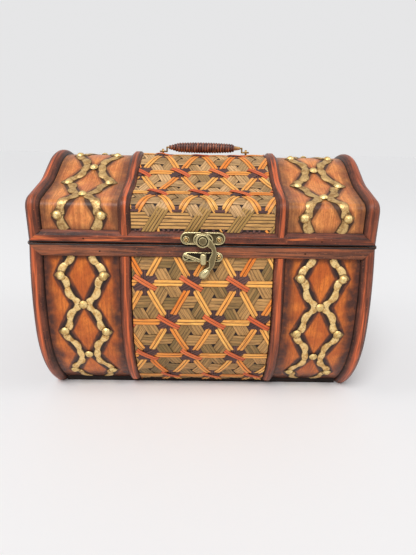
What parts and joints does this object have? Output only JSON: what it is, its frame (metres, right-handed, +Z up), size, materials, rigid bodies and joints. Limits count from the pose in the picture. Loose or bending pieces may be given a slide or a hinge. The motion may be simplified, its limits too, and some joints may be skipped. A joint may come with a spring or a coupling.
{
  "type": "dome top chest",
  "caption": "Small wooden storage chest with a bellied base, a hinged dome lid, brass strapwork, woven bamboo panels, a swing hook latch and a wrapped carrying handle.",
  "frame": {"origin": "middle of the underside, on the floor", "axes": "+X along the chest to the right of someone who stands before it, -Y the front with the latch, +Z up"},
  "size_m": [0.33, 0.234, 0.2579],
  "materials": {
    "carcass_wood": "dark stained, satin",
    "moulding_wood": "mahogany stain, rubbed to red on the high edges",
    "panel_wood": "orange tan stain, burnished dark at the borders",
    "woven_bamboo": "split bamboo and cane, lacquered",
    "strap_brass": "antiqued, satin",
    "tack_brass": "antiqued, polished on the dome",
    "screw_brass": "antiqued",
    "hinge_brass": "antiqued, satin",
    "latch_bronze": "dark antique bronze",
    "grip_wood": "pale, waxed",
    "grip_cane": "brown stained cane",
    "handle_wire": "bright brass wire"
  },
  "bodies": {
    "base": {"bottom_board": "carcass_wood", "base_front_board": "carcass_wood", "base_back_board": "carcass_wood", "base_left_end": "carcass_wood", "base_right_end": "carcass_wood", "base_front_rail": "moulding_wood", "base_back_rail": "moulding_wood", "base_front_weave": "woven_bamboo", "base_back_weave": "woven_bamboo", "base_front_left_rim": "moulding_wood", "base_front_left_batten": "moulding_wood", "base_front_left_panel": "panel_wood", "base_front_left_straps": "strap_brass", "base_front_right_rim": "moulding_wood", "base_front_right_batten": "moulding_wood", "base_front_right_panel": "panel_wood", "base_front_right_straps": "strap_brass", "base_back_left_rim": "moulding_wood", "base_back_left_batten": "moulding_wood", "base_back_left_panel": "panel_wood", "base_back_left_straps": "strap_brass", "base_back_right_rim": "moulding_wood", "base_back_right_batten": "moulding_wood", "base_back_right_panel": "panel_wood", "base_back_right_straps": "strap_brass", "base_tacks": "tack_brass", "keeper_plate": "latch_bronze", "base_screws": "screw_brass", "left_hinge_base_leaf": "hinge_brass", "right_hinge_base_leaf": "hinge_brass", "left_hinge_pin": "hinge_brass", "right_hinge_pin": "hinge_brass"},
    "lid": {"lid_dome_board": "carcass_wood", "lid_left_end": "carcass_wood", "lid_right_end": "carcass_wood", "lid_front_rail": "moulding_wood", "lid_back_rail": "moulding_wood", "lid_left_rim": "moulding_wood", "lid_right_rim": "moulding_wood", "lid_left_batten": "moulding_wood", "lid_right_batten": "moulding_wood", "lid_weave": "woven_bamboo", "lid_left_panel": "panel_wood", "lid_right_panel": "panel_wood", "lid_left_straps": "strap_brass", "lid_right_straps": "strap_brass", "lid_tacks": "tack_brass", "left_hinge_lid_leaf": "hinge_brass", "right_hinge_lid_leaf": "hinge_brass", "lid_screws": "screw_brass", "latch_plate": "latch_bronze", "latch_rivet": "latch_bronze", "handle_left_eye": "handle_wire", "handle_right_eye": "handle_wire"},
    "latch_hook": {"latch_hook": "latch_bronze"},
    "handle": {"handle_core": "grip_wood", "handle_wrap": "grip_cane", "handle_left_wire": "handle_wire", "handle_right_wire": "handle_wire"}
  },
  "joints": [
    {"name": "lid_hinge", "type": "hinge", "parent": "base", "child": "lid", "pos_m": [0, 0.1105, 0.1669], "axis": [-1, 0, 0], "range_deg": [0, 110]},
    {"name": "latch_swing", "type": "hinge", "parent": "lid", "child": "latch_hook", "pos_m": [0, -0.1147, 0.1722], "axis": [0, -1, 0], "range_deg": [0, 100]},
    {"name": "handle_swing", "type": "hinge", "parent": "lid", "child": "handle", "pos_m": [0, 0, 0.2479], "axis": [1, 0, 0], "range_deg": [-35, 35]}
  ]
}
